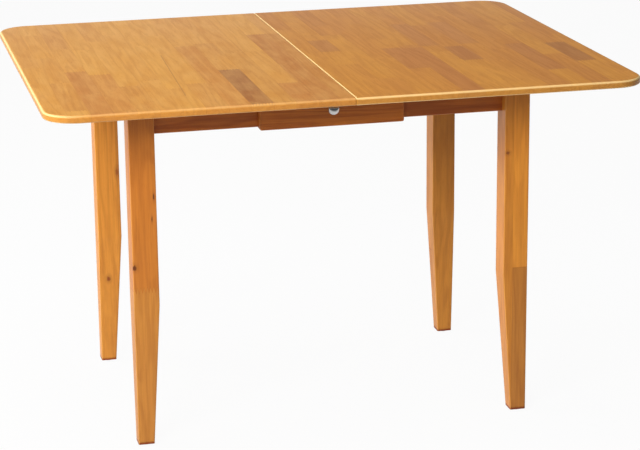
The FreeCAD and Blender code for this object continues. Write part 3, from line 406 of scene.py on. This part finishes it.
def stave_panel(name, panel, seed):
    """Finger-jointed rubberwood panel, stained honey, satin lacquer."""
    made, tree, shader = new_material(name)
    place = place_in_mm(tree)
    axes = add(tree, "SeparateXYZ", {0: place}).outputs
    from_start = add(tree, "Math", {0: axes["X"], 1: STAVE_START[panel]}, operation="SUBTRACT")
    count = add(tree, "Math", {0: from_start, 1: STAVE_WIDTH}, operation="DIVIDE")
    stave = add(tree, "Math", {0: count}, operation="FLOOR")
    stave_id = add(tree, "Math", {0: stave, 1: seed}, operation="ADD")
    chance = add(tree, "TexWhiteNoise", {"W": stave_id}, noise_dimensions="1D").outputs["Color"]
    draws = add(tree, "SeparateXYZ", {0: chance}).outputs
    length = add(tree, "Math", {0: draws["X"], 1: STAVE_SPREAD, 2: STAVE_SHORTEST},
                 operation="MULTIPLY_ADD")
    tooth = STAVE_WIDTH / STAVE_TEETH
    saw = add(tree, "Math", {0: from_start, 1: tooth / 2}, operation="PINGPONG")
    toothed = add(tree, "Math", {0: saw, 1: TOOTH_LENGTH / tooth * 2, 2: axes["Y"]},
                  operation="MULTIPLY_ADD")
    start = add(tree, "Math", {0: draws["Y"], 1: START_SPREAD, 2: toothed},
                operation="MULTIPLY_ADD")
    run = add(tree, "Math", {0: start, 1: length}, operation="DIVIDE")
    piece = add(tree, "Math", {0: run}, operation="FLOOR")
    piece_id = add(tree, "CombineXYZ", {0: stave_id, 1: piece, 2: seed})
    lot = add(tree, "TexWhiteNoise", {"Vector": piece_id}, noise_dimensions="3D")
    shift = add(tree, "VectorMath", {0: lot.outputs["Color"], "Scale": GRAIN_SPREAD},
                operation="SCALE")
    cloud = grain_noise(tree, place, *TONE_CLOUD, shift)
    mood = add(tree, "MapRange", {0: cloud, 1: 0.3, 2: 0.7, 3: -0.22, 4: 0.22})
    tone = add(tree, "Math", {0: lot.outputs["Value"], 1: mood}, operation="ADD")
    colour = add(tree, "ValToRGB", {0: tone}, stops=STAVE_TONES[panel])
    for half, number, near_end, far_end, code in DEEP_STAVES:
        if half != panel:
            continue
        across = add(tree, "Math", {0: stave, 1: number, 2: 0.1}, operation="COMPARE")
        along = add(tree, "Math", {0: toothed, 1: (near_end + far_end) / 2,
                                   2: (far_end - near_end) / 2}, operation="COMPARE")
        inside = add(tree, "Math", {0: across, 1: along}, operation="MULTIPLY")
        colour = add(tree, "MixRGB", {0: inside, 1: colour, 2: linear(code)})
    blotch = grain_noise(tree, place, *STAIN_CLOUD, shift, 3.0, 0.6)
    clouded = add(tree, "MapRange", {0: blotch, 1: 0.36, 2: 0.64, 3: 0.0, 4: CLOUD_SHARE})
    colour = add(tree, "MixRGB", {0: clouded, 1: colour, 2: linear(CLOUD_TONES[panel])})
    for half, near_x, near_y, far_x, far_y in STREAKS:
        if half != panel:
            continue
        slant = (far_x - near_x) / (far_y - near_y)
        line = add(tree, "Math", {0: axes["Y"], 1: slant, 2: near_x - near_y * slant},
                   operation="MULTIPLY_ADD")
        off = add(tree, "Math", {0: axes["X"], 1: line}, operation="SUBTRACT")
        distance = add(tree, "Math", {0: off}, operation="ABSOLUTE")
        dark = add(tree, "MapRange", {0: distance, 1: 0.3, 2: STREAK_HALF_WIDTH,
                                      3: STREAK_SHARE, 4: 0.0})
        along = add(tree, "Math", {0: axes["Y"], 1: (near_y + far_y) / 2,
                                   2: (far_y - near_y) / 2}, operation="COMPARE")
        inside = add(tree, "Math", {0: dark, 1: along}, operation="MULTIPLY")
        colour = add(tree, "MixRGB", {0: inside, 1: colour, 2: linear(STREAK_TONE)})
    figure = wood_figure(tree, place, shift, *STAVE_FIGURE)
    side = add(tree, "Math", {0: from_start, 1: STAVE_WIDTH / 2}, operation="PINGPONG")
    glue = add(tree, "MapRange", {0: side, 1: 0.0, 2: GLUE_LINE, 3: 0.86, 4: 1.0})
    light = add(tree, "Math", {0: figure, 1: glue}, operation="MULTIPLY")
    normal = add(tree, "NewGeometry").outputs["Normal"]
    turned = add(tree, "VectorMath", {0: normal}, operation="ABSOLUTE")
    facing = add(tree, "SeparateXYZ", {0: turned}).outputs
    cut = add(tree, "Math", {0: facing["Y"], 1: END_GRAIN_SHARE}, operation="MULTIPLY")
    colour = add(tree, "MixRGB", {0: cut, 1: colour, 2: linear(END_GRAIN[panel])})
    # Painted highlight on the rims and seam bevels, stronger on the ends than on the long edges.
    long_edge, end = RIM_HIGHLIGHT_SHARE[panel]
    rim_highlight = add(tree, "MapRange", {0: facing["X"], 1: 0.0, 2: 0.7, 3: long_edge, 4: end})
    edges = eased_edges(tree, round_corners=True)
    lacquer(tree, shader, stained(tree, colour, light, edges, RIM_HIGHLIGHT_TONE, rim_highlight), light)
    return made


dress(stave_panel("honey_rubberwood_left", "top_left", 3.0), ["top_left"])
dress(stave_panel("honey_rubberwood_right", "top_right", 41.0), ["top_right"])
dress(stave_panel("honey_rubberwood_leaf", "leaf", 77.0), ["leaf_wing_lower", "leaf_wing_upper"])


# ---------------------------------------------------------------- pegs
# Turned rubberwood dowels, sealed, glued into the seam edge of the left half and into the
# leaf. Each enters a hole in the board that it meets and lines the two up.
dress(sealed_along_x, ["seam_pegs", "leaf_pegs"])


# ---------------------------------------------------------------- steel fittings
# Catches, leaf hinges, screws and bolts: pressed, turned and cold-headed steel with a dull
# zinc plating. Its grain is finer than a millimetre and drawn coarser, to show.
PLATING_GRAIN = (2.5, 2.5, 2.5)
dress(metal("zinc_plated_steel", "b9bcc2", 0.30, PLATING_GRAIN, 0.00003),
      ["catch_plates_left", "catch_plates_right", "catch_screws_left", "catch_screws_right",
       "catch_pivots", "catch_keepers", "catch_lever_near", "catch_lever_far", "leaf_hinge_arms",
       "leaf_hinge_links", "leaf_hinge_pins", "brace_screws", "drawer_strip_screws",
       "hanger_bolts", "hanger_washers", "hanger_nuts", "drawer_front_screws",
       "drawer_knob_bolt", "slide_runner_screws_left", "slide_runner_screws_right"])


# ---------------------------------------------------------------- glides
# Natural nylon, moulded: milky, with a soft sheen. One is nailed under each foot, and the
# top slides on buttons that stand on the legs and end aprons.
# Clouds per millimetre in the moulded surface.
NYLON_CLOUDING = 0.12
nylon, tree, shader = new_material("natural_nylon")
cloud = add(tree, "TexNoise", {"Vector": place_in_mm(tree), "Scale": NYLON_CLOUDING,
                               "Detail": 2.0})
colour = add(tree, "ValToRGB", {0: cloud}, stops=[(0.3, "d8d2c2"), (0.7, "e2ddcf")])
tree.links.new(colour.outputs[0], shader.inputs["Base Color"])
shader.inputs["Roughness"].default_value = 0.45
shader.inputs["IOR"].default_value = 1.53
dress(nylon, ["foot_glides", "top_glides"])


# ---------------------------------------------------------------- floor
# A pale floor that the camera sees close to white, with the table's soft shadow kept.
# Glossy faces mirror it bright by the table and dark far in front of it (Y in metres).
FLOOR_SIZE = 60.0
FLOOR_GLOW = 0.95
DARK_FROM, BRIGHT_FROM = -1.7, -0.6
MIRRORED_FRONT, MIRRORED_BACK = 0.1, 0.88

mesh = bpy.data.meshes.new("floor")
half = FLOOR_SIZE / 2
corners = [(-half, -half, 0), (half, -half, 0), (half, half, 0), (-half, half, 0)]
mesh.from_pydata(corners, [], [(0, 1, 2, 3)])
pale_floor, tree, shader = new_material("pale_floor")
shader.inputs["Base Color"].default_value = linear("cccccc")
shader.inputs["Roughness"].default_value = 0.9
shader.inputs["Specular IOR Level"].default_value = 0.1
rays = add(tree, "LightPath").outputs
spot = add(tree, "SeparateXYZ", {0: add(tree, "TexCoord").outputs["Object"]}).outputs["Y"]
backdrop = add(tree, "MapRange", {0: spot, 1: DARK_FROM, 2: BRIGHT_FROM, 3: MIRRORED_FRONT,
                                  4: MIRRORED_BACK})
glow = add(tree, "Math", {0: rays["Is Glossy Ray"], 1: backdrop, 2: rays["Is Camera Ray"]},
           operation="MULTIPLY_ADD")
share = add(tree, "Math", {0: rays["Is Camera Ray"], 1: FLOOR_GLOW,
                           2: rays["Is Glossy Ray"]}, operation="MULTIPLY_ADD")
white = add(tree, "Emission", {"Strength": glow})
mixed = add(tree, "MixShader", {0: share, 1: shader, 2: white})
tree.links.new(mixed.outputs[0], tree.nodes["Material Output"].inputs["Surface"])
mesh.materials.append(pale_floor)
plane = bpy.data.objects.new("floor", mesh)
bpy.context.scene.collection.objects.link(plane)


# ---------------------------------------------------------------- lamps and room
# A large soft box at the front left, one overhead, a low strip close behind the top and
# one high at the back left, in a dim room. Of the lamps, glossy faces mirror only the
# strip, and above it a bright ceiling.
ROOM_LIGHT = 0.18
MIRRORED_CEILING = 0.6


def soft_box(name, place, target, size, power, mirrored=True):
    """A rectangular soft light that faces a target. Glossy faces mirror it or not."""
    lamp = bpy.data.lights.new(name, "AREA")
    lamp.shape = "RECTANGLE"
    lamp.size, lamp.size_y = size
    lamp.energy = power
    holder = bpy.data.objects.new(name, lamp)
    holder.location = place
    holder.rotation_euler = (Vector(target) - Vector(place)).to_track_quat("-Z", "Y").to_euler()
    holder.visible_camera = False
    holder.visible_glossy = mirrored
    bpy.context.scene.collection.objects.link(holder)


soft_box("key", (-2.3, -2.9, 2.2), (0, 0, 0.5), (1.8, 1.4), 149, mirrored=False)
soft_box("overhead", (-0.5, 0.1, 3.4), (0, 0, 0.7), (3.0, 2.4), 65, mirrored=False)
soft_box("back", (0.1, 0.95, 0.86), (0.1, 0.2, 0.75), (2.6, 0.16), 0.68)
soft_box("left", (-4.0, 1.4, 1.4), (0, 0, 0.4), (2.0, 1.0), 112, mirrored=False)

world = bpy.data.worlds.new("studio")
bpy.context.scene.world = world
world.use_nodes = True
room = world.node_tree
rays = add(room, "LightPath").outputs
height = add(room, "SeparateXYZ", {0: add(room, "TexCoord").outputs["Generated"]}).outputs["Z"]
ceiling = add(room, "MapRange", {0: height, 1: 0.5, 2: 0.75, 3: 0.0, 4: MIRRORED_CEILING})
mirrored = add(room, "Math", {0: rays["Is Glossy Ray"], 1: ceiling, 2: ROOM_LIGHT},
               operation="MULTIPLY_ADD")
# Past the floor's far edge the camera sees the same pale tone as on the floor.
strength = add(room, "Math", {0: rays["Is Camera Ray"], 1: FLOOR_GLOW - ROOM_LIGHT, 2: mirrored},
               operation="MULTIPLY_ADD")
room.links.new(strength.outputs[0], room.nodes["Background"].inputs["Strength"])
room.nodes["Background"].inputs["Color"].default_value = (1, 1, 1, 1)


# ---------------------------------------------------------------- camera
# A long lens at the front left, rolled a little, with its axis off the picture's middle.
# Turns are in radians, places in metres, and the lens and its centre in pixels.
CAMERA_PLACE = (-1.0161, -4.4136, 1.6537)
CAMERA_YAW = 0.2034
CAMERA_PITCH = 0.2749
CAMERA_ROLL = 0.0192
FOCAL_PIXELS = 2157.4
VIEW_WIDTH, VIEW_HEIGHT = 640, 450
VIEW_CENTRE = (254.7, 220.5)

lens = bpy.data.cameras.new("camera")
lens.sensor_width = 36.0
lens.lens = FOCAL_PIXELS * lens.sensor_width / VIEW_WIDTH
lens.shift_x = (VIEW_WIDTH / 2 - VIEW_CENTRE[0]) / VIEW_WIDTH
lens.shift_y = (VIEW_CENTRE[1] - VIEW_HEIGHT / 2) / VIEW_WIDTH
camera = bpy.data.objects.new("camera", lens)
turn = (Matrix.Rotation(-CAMERA_YAW, 4, "Z") @ Matrix.Rotation(math.pi / 2 - CAMERA_PITCH, 4, "X")
        @ Matrix.Rotation(-CAMERA_ROLL, 4, "Z"))
camera.matrix_world = Matrix.Translation(CAMERA_PLACE) @ turn
bpy.context.scene.collection.objects.link(camera)
bpy.context.scene.camera = camera
bpy.context.scene.view_settings.view_transform = "Standard"
